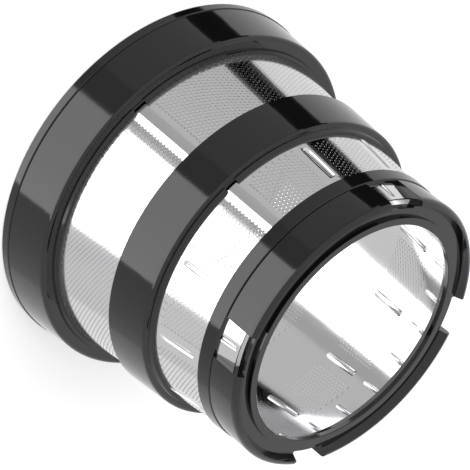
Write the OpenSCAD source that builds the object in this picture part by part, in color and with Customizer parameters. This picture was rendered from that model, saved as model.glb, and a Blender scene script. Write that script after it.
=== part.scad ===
// Strainer basket of a slow juicer: a rolled cone of perforated steel sheet held by three moulded rings.
// It stands on its wide rim, with the narrow end up. The axis is Z and the rim lies in the plane Z = 0.

/* [Overall] */
// Outer diameter of the wide rim
rim_d = 110; // [100:1:120]
// Height from the wide rim to the narrow front edge
strainer_h = 85.2; // [82:0.2:92]

/* [Steel sheet] */
// Outer diameter of the steel cone at the narrow end of the sheet
narrow_d = 80; // [74:0.5:84]
// Thickness of the sheet
sheet_t = 0.4; // [0.3:0.05:0.6]
// Height of the wide end of the sheet above the rim plane
sheet_start = 3; // [2:0.5:6]
// Distance from the narrow end of the sheet to the front edge
sheet_inset = 4.4; // [3.8:0.1:5]
// Angle of the overlap at the rolled seam
seam_deg = 3.9; // [3:0.1:6]
// Direction of the middle of the seam
seam_az = -102.4; // [-180:1:180]
// Distance between the spot welds along the seam
weld_pitch = 3.95; // [3:0.05:8]
// Diameter of a spot weld
weld_d = 1; // [0.6:0.1:1.4]

/* [Drain holes] */
// Diameter of a drain hole
hole_d = 2.4; // [1:0.1:3]
// Rows of holes in the upper field, between the top and middle rings
upper_rows = 3; // [1:1:4]
// Rows of holes in the lower field, between the middle and bottom rings
lower_rows = 2; // [1:1:3]
// Columns of holes between two neighbouring beads
field_columns = 2; // [1:1:3]
// Plain edge of sheet between a ring and the nearest holes
field_margin = 1.6; // [1:0.1:2.5]
// Plain angle on each side of a pressed bead
bead_margin_deg = 5; // [4:0.5:7]

/* [Pressed beads] */
// Number of long beads round the sheet, with the seam in the place of one
long_beads = 12; // [8:1:16]
// Width of a long bead
long_bead_w = 2; // [1.4:0.1:2.4]
// Length of a long bead
long_bead_l = 12.2; // [8:0.2:13]
// Width of a short bead
short_bead_w = 1.3; // [1:0.1:1.6]
// Length of a short bead
short_bead_l = 7.6; // [4:0.2:8]
// Depth that the beads are pressed inwards
bead_depth = 0.5; // [0.3:0.05:0.7]

/* [Top ring] */
// Thickness of the top ring at the rim
rim_wall = 3.7; // [3:0.1:6]
// Height of the top ring's outer wall
top_ring_h = 17; // [12:0.5:20]
// Height of the straight band along the rim
rim_band_h = 2.8; // [1.5:0.1:5]
// Radius of the round at the lower edge of the top ring's wall
top_round = 1.2; // [0.6:0.1:1.8]

/* [Middle ring] */
// Height of the middle ring's wide edge above the rim plane
middle_z = 38.9; // [34:0.1:40]
// Height of the middle ring's outer wall
middle_ring_h = 14.1; // [10:0.1:15]
// Thickness of the middle ring at its wide edge
middle_wall = 1.95; // [1.6:0.05:3]
// Radius of the round at the lower edge of the middle ring's wall
middle_round = 1; // [0.5:0.1:1.2]

/* [Bottom ring] */
// Height of the bottom ring from its wide edge to the front edge
bottom_ring_h = 15.1; // [14:0.1:16]
// Height of the bottom ring's upper tier
tier_h = 4.4; // [3:0.1:5]
// Thickness of the lower tier at the narrow end of the sheet
spigot_wall = 1.9; // [1.7:0.1:3]
// Step from the upper tier in to the lower tier
tier_step = 0.25; // [0.15:0.05:0.6]
// Radius of the round at the front edge
front_round = 1.8; // [1:0.1:2]
// Diameter of the open mouth
mouth_d = 67.6; // [60:0.2:69]
// Width of the raised lip round the mouth
lip_w = 2.4; // [1.8:0.1:3]
// Height of the lip above the channel floor
lip_h = 1.1; // [0.6:0.1:1.4]
// Depth of the channel below the front edge
channel_depth = 2.2; // [1.4:0.1:2.4]
// Number of bayonet windows
windows = 4; // [2:1:6]
// Angle that each bayonet window spans
window_deg = 16.5; // [10:0.5:20]
// Direction of the first bayonet window
window_az = -57.7; // [-180:0.1:180]
// Depth of a bayonet window, from the lower tier inwards
window_depth = 3.6; // [3.4:0.1:4.2]

/* [Moulding] */
// Draft angle of the rings' outer walls
wall_draft = 4.5; // [2:0.5:6]
// Thickness of the collar that holds the sheet at a ring's lower edge
collar_t = 1; // [0.7:0.1:1.2]
// Height of the collar below a ring's lower face
collar_h = 0.9; // [0.5:0.1:1.4]
// Depth and half width of the fine grooves round the rings
groove = 0.25; // [0.15:0.05:0.4]
// Small bevel on the sharp edges
edge = 0.2; // [0.1:0.05:0.3]
// Clearance between a ring and the sheet
seat_gap = 0.05; // [0.02:0.01:0.15]

/* [Hidden] */
$fn = 120;
hole_fn = 24;
arc_steps = 4;
over = 1;

wide_r = rim_d / 2 - rim_wall;
narrow_r = narrow_d / 2;
sheet_end = strainer_h - sheet_inset;
cone_slope = (wide_r - narrow_r) / sheet_end;
cone_angle = atan(cone_slope);
draft_slope = tan(wall_draft);

middle_end = middle_z + middle_ring_h;
bottom_z = strainer_h - bottom_ring_h;
crease_z = bottom_z + tier_h;
spigot_r = narrow_r + spigot_wall;
flange_z = sheet_end + seat_gap;
channel_z = strainer_h - channel_depth;
lip_top = channel_z + lip_h;
mouth_r = mouth_d / 2;
mouth_bevel = 1.2;
window_r = spigot_r - window_depth;
channel_r = window_r + 0.7;

long_bead_z = middle_end + collar_h + 1.7;
short_bead_z = crease_z - 2.3;
bead_step = 360 / long_beads;
weld_depth = 0.12;
seam_cut_deg = seam_deg + 0.6;
notch_t = 1.1;
notch_h = 1.6;

// Outer radius of the steel cone at a height
function cone_r(z) = wide_r - cone_slope * z;

// Points of an arc in the profile plane
function arc(r, z, radius, from, to) =
    [for (i = [0 : arc_steps])
        let (a = from + (to - from) * i / arc_steps)
        [r + radius * cos(a), z + radius * sin(a)]];

// Ring between two offsets from the steel cone's outer face
module cone_band(z0, z1, inner, outer) {
    polygon([
        [cone_r(z0) + inner, z0],
        [cone_r(z0) + outer, z0],
        [cone_r(z1) + outer, z1],
        [cone_r(z1) + inner, z1]
    ]);
}

// Puts a shape on the cone: X points out of the sheet and Z runs along it to the narrow end
module on_cone(az, z) {
    rotate([0, 0, az])
        translate([cone_r(z), 0, z])
            rotate([0, -cone_angle, 0])
                children();
}

module capsule(radius, length) {
    cylinder(r = radius, h = length, center = true);
    for (end = [-1, 1])
        translate([0, 0, end * length / 2])
            sphere(r = radius);
}

// Round bar that presses one bead: wall 0 gives the groove, and the sheet's thickness gives the ridge
module bead(az, z, width, length, wall) {
    bar_r = (pow(width / 2, 2) + pow(bead_depth, 2)) / (2 * bead_depth);
    on_cone(az, z + length / 2)
        translate([bar_r - bead_depth, 0, 0])
            capsule(bar_r + wall, length - width);
}

module beads(wall) {
    for (i = [1 : long_beads - 1])
        bead(seam_az + i * bead_step, long_bead_z, long_bead_w, long_bead_l, wall);
    for (i = [0.5 : 0.5 : long_beads - 0.5])
        bead(seam_az + i * bead_step, short_bead_z, short_bead_w, short_bead_l, wall);
}

// Staggered rows of holes between two heights, in each field between two beads
module hole_field(z0, z1, rows) {
    row_h = (z1 - z0) / rows;
    field_deg = bead_step - 2 * bead_margin_deg;
    column_deg = field_deg / field_columns;
    for (i = [0 : long_beads - 1])
        for (row = [0 : rows - 1])
            for (column = [0 : field_columns - 1]) {
                stagger = (row % 2 == 0 ? -1 : 1) * column_deg / 4;
                az = seam_az + i * bead_step + bead_margin_deg + (column + 0.5) * column_deg + stagger;
                on_cone(az, z0 + (row + 0.5) * row_h)
                    rotate([0, 90, 0])
                        cylinder(d = hole_d, h = 4 * over, center = true, $fn = hole_fn);
            }
}

module drain_holes() {
    hole_field(top_ring_h + collar_h + field_margin, middle_z - field_margin, upper_rows);
    hole_field(middle_end + collar_h + field_margin, bottom_z - field_margin, lower_rows);
}

// Outer layer of the sheet where its two ends overlap
module seam_strip() {
    rotate_extrude(angle = seam_deg, start = seam_az - seam_deg / 2)
        cone_band(sheet_start, sheet_end, -sheet_t / 2, sheet_t);
}

module weld_spots(z0, z1) {
    for (z = [z0 : weld_pitch : z1])
        on_cone(seam_az, z)
            translate([sheet_t - weld_depth, 0, 0])
                rotate([0, 90, 0])
                    cylinder(d = weld_d, h = over, $fn = hole_fn);
}

module strainer_sleeve() {
    color([0.80, 0.80, 0.82])
        difference() {
            union() {
                rotate_extrude()
                    cone_band(sheet_start, sheet_end, -sheet_t, 0);
                seam_strip();
                intersection() {
                    rotate_extrude()
                        polygon([
                            [0, sheet_start],
                            [cone_r(sheet_start) - sheet_t / 2, sheet_start],
                            [cone_r(sheet_end) - sheet_t / 2, sheet_end],
                            [0, sheet_end]
                        ]);
                    beads(sheet_t);
                }
            }
            beads(0);
            drain_holes();
            weld_spots(top_ring_h + collar_h + weld_pitch / 2, middle_z - weld_d);
            weld_spots(middle_end + collar_h + weld_pitch / 2, bottom_z - weld_d);
        }
}

// Space that a ring leaves for the sheet's overlap
module seam_slot(z0, z1, depth) {
    rotate_extrude(angle = seam_cut_deg, start = seam_az - seam_cut_deg / 2)
        cone_band(z0, z1, -over, depth);
}

module top_ring_profile() {
    rim_r = rim_d / 2;
    wall_r = rim_r - groove - draft_slope * (top_ring_h - rim_band_h);
    collar_z = top_ring_h + collar_h;
    polygon(concat(
        [
            [cone_r(0) - sheet_t + edge, 0],
            [rim_r - edge, 0],
            [rim_r, edge],
            [rim_r, rim_band_h - groove],
            [rim_r - 2 * groove, rim_band_h],
            [rim_r - groove, rim_band_h + groove]
        ],
        arc(wall_r - top_round, top_ring_h - top_round, top_round, 0, 90),
        [
            [cone_r(top_ring_h) + collar_t + edge, top_ring_h],
            [cone_r(collar_z) + collar_t, collar_z],
            [cone_r(collar_z) + seat_gap, collar_z],
            [cone_r(sheet_start - seat_gap) + seat_gap, sheet_start - seat_gap],
            [cone_r(sheet_start - seat_gap) - sheet_t, sheet_start - seat_gap],
            [cone_r(edge) - sheet_t, edge]
        ]
    ));
}

module top_ring() {
    collar_z = top_ring_h + collar_h;
    color([0.05, 0.05, 0.055])
        difference() {
            rotate_extrude()
                top_ring_profile();
            seam_slot(sheet_start - seat_gap, collar_z + over, sheet_t + seat_gap);
            seam_slot(collar_z - notch_h, collar_z + over, notch_t);
        }
}

module middle_ring_profile() {
    edge_r = cone_r(middle_z) + middle_wall;
    wall_r = edge_r - draft_slope * middle_ring_h;
    collar_z = middle_end + collar_h;
    polygon(concat(
        [
            [cone_r(middle_z) + seat_gap, middle_z],
            [edge_r - edge, middle_z],
            [edge_r, middle_z + edge]
        ],
        arc(wall_r - middle_round, middle_end - middle_round, middle_round, 0, 90),
        [
            [cone_r(middle_end) + collar_t + edge, middle_end],
            [cone_r(collar_z) + collar_t - edge, collar_z],
            [cone_r(collar_z) + seat_gap, collar_z]
        ]
    ));
}

module middle_ring() {
    collar_z = middle_end + collar_h;
    color([0.05, 0.05, 0.055])
        difference() {
            rotate_extrude()
                middle_ring_profile();
            seam_slot(middle_z - over, collar_z + over, sheet_t + seat_gap);
            seam_slot(collar_z - notch_h, collar_z + over, notch_t);
        }
}

module bottom_ring_profile() {
    tier_r = spigot_r + tier_step;
    polygon(concat(
        [
            [cone_r(bottom_z) + seat_gap, bottom_z],
            [tier_r + draft_slope * tier_h - edge, bottom_z],
            [tier_r + draft_slope * tier_h, bottom_z + edge],
            [tier_r, crease_z - groove],
            [spigot_r - groove, crease_z],
            [spigot_r, crease_z + groove]
        ],
        arc(spigot_r - front_round, strainer_h - front_round, front_round, 0, 90),
        [
            [channel_r, channel_z],
            [mouth_r + lip_w, channel_z],
            [mouth_r + lip_w - edge, lip_top],
            [mouth_r + edge, lip_top],
            [mouth_r, lip_top - edge],
            [mouth_r, lip_top - edge - mouth_bevel],
            [mouth_r + mouth_bevel, flange_z],
            [cone_r(flange_z) + seat_gap, flange_z]
        ]
    ));
}

// Cuts through the lower tier and the front edge, and leaves the channel floor and the lip
module window_cuts() {
    for (i = [0 : windows - 1])
        rotate_extrude(angle = window_deg, start = window_az + i * 360 / windows - window_deg / 2)
            translate([window_r, crease_z])
                square([window_depth + over, bottom_ring_h]);
}

module bottom_ring() {
    color([0.05, 0.05, 0.055])
        difference() {
            rotate_extrude()
                bottom_ring_profile();
            seam_slot(bottom_z - over, flange_z, sheet_t + seat_gap);
            window_cuts();
        }
}

strainer_sleeve();
top_ring();
middle_ring();
bottom_ring();
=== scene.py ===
import bmesh
import bpy
import math
from mathutils import Matrix, Vector


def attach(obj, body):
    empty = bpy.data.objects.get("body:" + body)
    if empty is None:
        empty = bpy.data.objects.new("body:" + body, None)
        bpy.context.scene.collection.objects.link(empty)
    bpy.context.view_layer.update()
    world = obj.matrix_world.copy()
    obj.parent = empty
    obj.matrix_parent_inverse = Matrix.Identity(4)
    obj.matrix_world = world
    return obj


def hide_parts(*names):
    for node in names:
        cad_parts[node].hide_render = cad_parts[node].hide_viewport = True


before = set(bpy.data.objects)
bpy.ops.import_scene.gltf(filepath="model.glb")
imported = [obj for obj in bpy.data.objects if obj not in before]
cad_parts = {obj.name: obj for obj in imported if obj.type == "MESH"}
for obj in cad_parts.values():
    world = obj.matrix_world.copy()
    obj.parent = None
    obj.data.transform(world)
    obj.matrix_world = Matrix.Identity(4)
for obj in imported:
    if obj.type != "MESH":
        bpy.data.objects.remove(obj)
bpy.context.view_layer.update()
millimetre = 0.001

# The camera follows the photograph: a long lens, looking down on the part and rolled over
cameraSettings = {
    "elevation": 35.174,               # degrees above the horizon
    "roll": 129.228,                   # degrees about the line of sight
    "position": (-0.0003, -0.5076, 0.3912),
    "pictureSize": 470,                # pixels across the photograph
    "focalPixels": 2234,               # focal length in those pixels
    "sensorWidth": 36,                 # mm
}

# Soft studio light: a plain level for the diffuse colours, and large cards that only show in the gloss
studioSettings = {
    "floorSize": 3.0,
    "floorColour": (0.86, 0.86, 0.86, 1),
    "floorLift": 0.45,                 # share of white that the floor shows the camera by itself
    "worldSeen": 1.0,                  # white background, also in the metal
    "worldDiffuse": 0.55,
    "cardDistance": 2.0,
    "lampEnergy": 9.0,
    "lampSize": 0.9,
    "lampPosition": (-0.5, -0.6, 1.3),
}

# Each card covers a range of directions round the part, in degrees: from, to, lowest, highest, brightness
reflectorCards = {
    "keySoftbox": (262, 328, -88, -2, 3.5),
    "sideFill": (329, 380, -60, -4, 0.8),
    "greyFlag": (187, 243, -60, -4, 0.66),
    "darkFlag": (243, 261, -60, -4, 0.5),
    "blackFlag": (165, 186, -60, -4, 0.0),
}

# The rolled sheet of perforated steel, in mm and degrees
sleeveSettings = {
    "wideRadius": 51.3,                # outer radius of the cone in the rim plane
    "narrowRadius": 40.0,              # outer radius at the narrow end of the sheet
    "start": 3.0,
    "end": 80.8,
    "split": 45.0,                     # height where the two bands of the sheet are modelled to
    "thickness": 0.4,
    "seamCentre": -102.4,
    "seamAngle": 3.9,
    "seamLift": 0.42,                  # height of the outer layer over the inner one
    "jog": 1.5,                        # angle in which the sheet steps down from the overlap
    "sectors": 12,
    "holeRadius": 0.32,
    "holePitch": 1.23,
    "holeSegments": 2,
    "plainColumns": 3,                 # grid lines without holes on each side of a bead or seam
    "upperColumns": 23,                # grid columns in a sector of the upper field
    "upperRows": 16,
    "upperStart": 19.0,                # height of the first row of holes
    "lowerColumns": 21,
    "lowerRows": 12,
    "lowerStart": 55.8,
    "longBead": {"width": 2.0, "length": 12.2, "start": 55.6},
    "shortBead": {"width": 1.3, "length": 7.6, "start": 72.2},
    "beadDepth": 0.45,
    "weld": {"width": 0.9, "depth": 0.1, "pitch": 3.95, "offset": 0.9, "first": 56.1},
}

sleeveSlope = (sleeveSettings["wideRadius"] - sleeveSettings["narrowRadius"]) / sleeveSettings["end"]
sleeveAngle = math.atan(sleeveSlope)


def coneRadius(height):
    return sleeveSettings["wideRadius"] - sleeveSlope * height


def nodeSocket(node, name):
    return node.inputs[name]


def newMaterial(name):
    material = bpy.data.materials.new(name)
    material.use_nodes = True
    nodes = material.node_tree.nodes
    links = material.node_tree.links
    return material, nodes, links, nodes["Principled BSDF"]


def noiseNode(nodes, links, coordinates, scale, detail, stretch=(1, 1, 1)):
    mapping = nodes.new("ShaderNodeMapping")
    mapping.inputs["Scale"].default_value = stretch
    links.new(coordinates, mapping.inputs["Vector"])
    noise = nodes.new("ShaderNodeTexNoise")
    noise.inputs["Scale"].default_value = scale
    noise.inputs["Detail"].default_value = detail
    links.new(mapping.outputs["Vector"], noise.inputs["Vector"])
    return noise.outputs["Fac"]


def rangeNode(nodes, links, value, low, high):
    spread = nodes.new("ShaderNodeMapRange")
    spread.inputs["To Min"].default_value = low
    spread.inputs["To Max"].default_value = high
    links.new(value, spread.inputs["Value"])
    return spread.outputs["Result"]


def makeGlossPlastic():
    material, nodes, links, shader = newMaterial("glossBlackPlastic")
    shader.inputs["Base Color"].default_value = (0.006, 0.006, 0.0065, 1)
    shader.inputs["IOR"].default_value = 1.5
    place = nodes.new("ShaderNodeTexCoord").outputs["Object"]
    haze = noiseNode(nodes, links, place, 60, 3)
    links.new(rangeNode(nodes, links, haze, 0.06, 0.11), shader.inputs["Roughness"])
    bump = nodes.new("ShaderNodeBump")
    bump.inputs["Strength"].default_value = 0.02
    bump.inputs["Distance"].default_value = 0.001
    links.new(noiseNode(nodes, links, place, 140, 2), bump.inputs["Height"])
    links.new(bump.outputs["Normal"], shader.inputs["Normal"])
    return material


def makeSheetSteel():
    material, nodes, links, shader = newMaterial("rolledSheetSteel")
    shader.inputs["Base Color"].default_value = (0.68, 0.68, 0.69, 1)
    shader.inputs["Metallic"].default_value = 1
    place = nodes.new("ShaderNodeTexCoord").outputs["Object"]
    grain = noiseNode(nodes, links, place, 500, 3, (1, 1, 0.08))
    links.new(rangeNode(nodes, links, grain, 0.08, 0.16), shader.inputs["Roughness"])
    bump = nodes.new("ShaderNodeBump")
    bump.inputs["Strength"].default_value = 0.03
    bump.inputs["Distance"].default_value = 0.0005
    links.new(noiseNode(nodes, links, place, 90, 2), bump.inputs["Height"])
    links.new(bump.outputs["Normal"], shader.inputs["Normal"])
    return material


def makeGlow(name, colour, strength):
    material = bpy.data.materials.new(name)
    material.use_nodes = True
    nodes = material.node_tree.nodes
    nodes.clear()
    glow = nodes.new("ShaderNodeEmission")
    glow.inputs["Color"].default_value = colour
    glow.inputs["Strength"].default_value = strength
    output = nodes.new("ShaderNodeOutputMaterial")
    material.node_tree.links.new(glow.outputs["Emission"], output.inputs["Surface"])
    return material


def finishPiece(bm, name, material):
    mesh = bpy.data.meshes.new(name)
    bm.to_mesh(mesh)
    bm.free()
    mesh.materials.append(material)
    piece = bpy.data.objects.new(name, mesh)
    bpy.context.scene.collection.objects.link(piece)
    return piece


def makeCamera():
    data = bpy.data.cameras.new("photoCamera")
    data.sensor_width = cameraSettings["sensorWidth"]
    data.lens = cameraSettings["sensorWidth"] * cameraSettings["focalPixels"] / cameraSettings["pictureSize"]
    data.clip_start = 0.01
    camera = bpy.data.objects.new("photoCamera", data)
    bpy.context.scene.collection.objects.link(camera)
    tilt = Matrix.Rotation(math.radians(90 - cameraSettings["elevation"]), 4, "X")
    roll = Matrix.Rotation(math.radians(cameraSettings["roll"]), 4, "Z")
    camera.matrix_world = Matrix.Translation(cameraSettings["position"]) @ tilt @ roll
    bpy.context.scene.camera = camera


def lightPathSeen(nodes, links):
    # 1 for what the eye, the metal or glass sees, and 0 for light that falls on the part
    path = nodes.new("ShaderNodeLightPath")
    total = path.outputs["Is Camera Ray"]
    for output in ("Is Glossy Ray", "Is Transmission Ray"):
        addition = nodes.new("ShaderNodeMath")
        addition.operation = "ADD"
        addition.use_clamp = True
        links.new(total, addition.inputs[0])
        links.new(path.outputs[output], addition.inputs[1])
        total = addition.outputs["Value"]
    return total


def makeWorld():
    world = bpy.data.worlds.new("studioWorld")
    world.use_nodes = True
    nodes = world.node_tree.nodes
    links = world.node_tree.links
    strength = rangeNode(
        nodes,
        links,
        lightPathSeen(nodes, links),
        studioSettings["worldDiffuse"],
        studioSettings["worldSeen"],
    )
    nodes["Background"].inputs["Color"].default_value = (1, 1, 1, 1)
    links.new(strength, nodes["Background"].inputs["Strength"])
    bpy.context.scene.world = world


def makeFloor():
    bm = bmesh.new()
    bmesh.ops.create_grid(bm, x_segments=1, y_segments=1, size=studioSettings["floorSize"] / 2)
    material = bpy.data.materials.new("paleFloor")
    material.use_nodes = True
    nodes = material.node_tree.nodes
    links = material.node_tree.links
    paint = nodes["Principled BSDF"]
    paint.inputs["Base Color"].default_value = studioSettings["floorColour"]
    paint.inputs["Roughness"].default_value = 1
    paint.inputs["Specular IOR Level"].default_value = 0
    paint.inputs["Emission Color"].default_value = (1, 1, 1, 1)
    lift = rangeNode(nodes, links, lightPathSeen(nodes, links), 0, studioSettings["floorLift"])
    links.new(lift, paint.inputs["Emission Strength"])
    floor = finishPiece(bm, "studioFloor", material)
    floor.visible_glossy = False


def makeCard(name, azimuthFrom, azimuthTo, lowest, highest, brightness):
    # A patch of a large sphere, spun from an arc
    distance = studioSettings["cardDistance"]
    steps = 12
    bm = bmesh.new()
    arc = []
    for i in range(steps + 1):
        height = math.radians(lowest + (highest - lowest) * i / steps)
        arc.append(bm.verts.new((distance * math.cos(height), 0, distance * math.sin(height))))
    edges = [bm.edges.new(pair) for pair in zip(arc, arc[1:])]
    start = Matrix.Rotation(math.radians(azimuthFrom), 3, "Z")
    bmesh.ops.rotate(bm, cent=(0, 0, 0), matrix=start, verts=arc)
    bmesh.ops.spin(
        bm,
        geom=arc + edges,
        cent=(0, 0, 0),
        axis=(0, 0, 1),
        angle=math.radians(azimuthTo - azimuthFrom),
        steps=24,
    )
    card = finishPiece(bm, name, makeGlow(name + "Glow", (1, 1, 1, 1), brightness))
    card.visible_camera = False
    card.visible_diffuse = False
    card.visible_shadow = False
    card.visible_transmission = False


def makeLamp():
    data = bpy.data.lights.new("softLamp", "AREA")
    data.size = studioSettings["lampSize"]
    data.energy = studioSettings["lampEnergy"]
    lamp = bpy.data.objects.new("softLamp", data)
    bpy.context.scene.collection.objects.link(lamp)
    lamp.location = studioSettings["lampPosition"]
    lamp.rotation_euler = (-lamp.location).to_track_quat("-Z", "Y").to_euler()
    lamp.visible_glossy = False


# Flat pattern of one band of the sheet: X runs round the cone and Y up along it, both in mm
def flatGrid(columns, heights, width):
    bm = bmesh.new()
    bmesh.ops.create_grid(bm, x_segments=columns, y_segments=len(heights) - 1, size=0.5)
    for vert in bm.verts:
        row = round((vert.co.y + 0.5) * (len(heights) - 1))
        vert.co.x = (vert.co.x + 0.5) * width
        vert.co.y = heights[row]
    return bm


def cutWindow(bm, x, y, halfWidth, halfHeight):
    # Takes out the grid faces that a pressed shape covers, and returns the edges round them
    covered = set()
    for face in bm.faces:
        xs = [vert.co.x for vert in face.verts]
        ys = [vert.co.y for vert in face.verts]
        beside = min(xs) > x + halfWidth or max(xs) < x - halfWidth
        beyond = min(ys) > y + halfHeight or max(ys) < y - halfHeight
        if not (beside or beyond):
            covered.add(face)
    rim = [edge for edge in bm.edges if sum(face in covered for face in edge.link_faces) == 1]
    bmesh.ops.delete(bm, geom=list(covered), context="FACES")
    return rim


def pressShape(bm, x, y, width, length, steps):
    # A round-ended shape pressed into the sheet: each step goes in by (distance from the outline, depth)
    margin = 0.12
    rim = cutWindow(bm, x, y, width / 2 + margin, length / 2 + margin)
    circle = bmesh.ops.create_circle(bm, segments=16, radius=width / 2, cap_ends=False)["verts"]
    for vert in circle:
        if vert.co.y > 1e-6:
            vert.co.y += (length - width) / 2
        elif vert.co.y < -1e-6:
            vert.co.y -= (length - width) / 2
    bmesh.ops.translate(bm, verts=circle, vec=(x, y, 0))
    outline = list({edge for vert in circle for edge in vert.link_edges})
    bmesh.ops.triangle_fill(bm, edges=rim + outline, use_beauty=True, use_dissolve=False)
    cap = bmesh.ops.contextual_create(bm, geom=outline)["faces"]
    for thickness, depth in steps:
        bmesh.ops.inset_individual(bm, faces=cap, thickness=thickness, use_even_offset=True)
        bmesh.ops.translate(bm, verts=cap[0].verts, vec=(0, 0, -depth))


def punchHoles(bm, isHole):
    # Returns the grid points that isHole chooses; it staggers no rows and opens no holes
    settings = sleeveSettings
    chosen = [vert for vert in bm.verts if isHole(vert)]
    return chosen


def rollSheet(bm, referenceRadius, startAzimuth):
    # Bends the flat pattern round the cone, with the start of the sheet lifted over its end
    settings = sleeveSettings
    for vert in bm.verts:
        angle = math.degrees(vert.co.x / referenceRadius)
        past = (angle - settings["seamAngle"]) / settings["jog"]
        step = min(max(past, 0), 1)
        lift = settings["seamLift"] * (1 - step * step * (3 - 2 * step))
        azimuth = math.radians(startAzimuth + angle)
        radius = coneRadius(vert.co.y) + lift + vert.co.z * math.cos(sleeveAngle)
        height = vert.co.y + vert.co.z * math.sin(sleeveAngle)
        vert.co = (radius * math.cos(azimuth), radius * math.sin(azimuth), height)


def buildSheet(name, columnsPerSector, heights, firstRow, lastRow, presses, fromShare=0.0, toShare=1.0):
    settings = sleeveSettings
    sectorAngle = 360 / settings["sectors"]
    columnAngle = sectorAngle / columnsPerSector
    columns = settings["sectors"] * columnsPerSector + 3
    referenceRadius = coneRadius((heights[firstRow] + heights[lastRow]) / 2)
    columnWidth = math.radians(columnAngle) * referenceRadius
    bm = flatGrid(columns, heights, columns * columnWidth)
    plain = settings["plainColumns"]

    def columnOf(vert):
        return round(vert.co.x / columnWidth)

    firstColumn = round(columns * fromShare)
    lastColumn = round(columns * toShare)
    beyond = [face for face in bm.faces
              if not firstColumn < face.calc_center_median().x / columnWidth < lastColumn]
    bmesh.ops.delete(bm, geom=beyond, context="FACES")

    holes = []
    fieldPeriod = columnsPerSector if presses == "beads" else columns - 3
    for vert in bm.verts:
        column = columnOf(vert)
        place = (column - 2 + plain) % fieldPeriod
        inside = firstColumn < column < lastColumn
        # The first two grid lines lie on each side of the seam's centre
        offset = (column - 1.5) % fieldPeriod
        nearPress = min(offset, fieldPeriod - offset) < plain
        inRows = heights[firstRow] - 0.01 < vert.co.y < heights[lastRow] + 0.01
        if inRows and inside and not nearPress and plain < column < columns - plain:
            holes.append(vert)
            if column % 2:
                vert.co.y += settings["holePitch"] / 2

    centre = 1.5 * columnWidth
    depth = settings["beadDepth"]
    beadSteps = ((0.12, 0.05), (0.2, depth - 0.12), (0.12, 0.07))
    if presses == "beads":
        for half in range(1, 2 * settings["sectors"]):
            x = centre + half * columnWidth * columnsPerSector / 2
            short = settings["shortBead"]
            pressShape(bm, x, short["start"] + short["length"] / 2, short["width"], short["length"], beadSteps)
            if half % 2 == 0:
                bead = settings["longBead"]
                pressShape(bm, x, bead["start"] + bead["length"] / 2, bead["width"], bead["length"], beadSteps)

    quads = [face for face in bm.faces if any(vert in face.verts for vert in ())]
    holeSet = set(holes)
    around = {face for vert in holes for face in vert.link_faces}
    bmesh.ops.triangulate(bm, faces=list(around), quad_method="SHORT_EDGE")
    centres = {}
    opened = bmesh.ops.bevel(
        bm,
        geom=holes,
        offset=settings["holeRadius"],
        offset_type="OFFSET",
        affect="VERTICES",
        segments=settings["holeSegments"],
        profile=0.5,
        material=-1,
    )["faces"]
    for face in opened:
        middle = sum((vert.co for vert in face.verts), Vector()) / len(face.verts)
        for vert in face.verts:
            vert.co = middle + (vert.co - middle).normalized() * settings["holeRadius"]
    bmesh.ops.delete(bm, geom=opened, context="FACES_ONLY")
    rollSheet(bm, referenceRadius, settings["seamCentre"] - settings["seamAngle"] / 2)
    bmesh.ops.recalc_face_normals(bm, faces=bm.faces)
    bmesh.ops.solidify(bm, geom=bm.faces[:], thickness=settings["thickness"])
    bmesh.ops.scale(bm, vec=(millimetre, millimetre, millimetre), verts=bm.verts)
    for face in bm.faces:
        face.smooth = True
    for edge in bm.edges:
        if edge.is_manifold and edge.calc_face_angle() > math.radians(35):
            edge.smooth = False
    print(name, len(holes), "holes", len(bm.faces), "faces")
    piece = finishPiece(bm, name, sheetSteel)
    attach(piece, "root")
    return piece


def holeRows(start, rows):
    return [start + sleeveSettings["holePitch"] * row for row in range(-1, rows + 1)]


def makeSleeve():
    settings = sleeveSettings
    lowerRows = holeRows(settings["lowerStart"], settings["lowerRows"])
    shortBead = settings["shortBead"]
    beadClear = 0.5
    lowerHeights = [settings["split"]] + lowerRows + [
        shortBead["start"] - beadClear,
        shortBead["start"] + shortBead["length"] + beadClear,
        settings["end"],
    ]
    upperRows = holeRows(settings["upperStart"], settings["upperRows"])
    upperHeights = [settings["start"]] + upperRows + [settings["split"]]
    pieces = [
        buildSheet("sleeve_narrow_band", settings["lowerColumns"], lowerHeights, 2, settings["lowerRows"] + 1, "beads"),
        buildSheet("sleeve_wide_band_1", settings["upperColumns"], upperHeights, 2, settings["upperRows"] + 1, "", 0, 0.5),
        buildSheet("sleeve_wide_band_2", settings["upperColumns"], upperHeights, 2, settings["upperRows"] + 1, "", 0.5, 1),
    ]
    for piece in pieces:
        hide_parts("strainer_sleeve")


def dressRings(material):
    for name in ("top_ring", "middle_ring", "bottom_ring"):
        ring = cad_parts[name]
        for slot in ring.material_slots:
            slot.material = material


scene = bpy.context.scene
scene.view_settings.view_transform = "Standard"
makeCamera()
makeWorld()
makeFloor()
makeLamp()
for cardName, cardRange in reflectorCards.items():
    makeCard(cardName, *cardRange)
print("studio ready")

glossPlastic = makeGlossPlastic()
sheetSteel = makeSheetSteel()
dressRings(glossPlastic)
makeSleeve()
print("pieces ready")
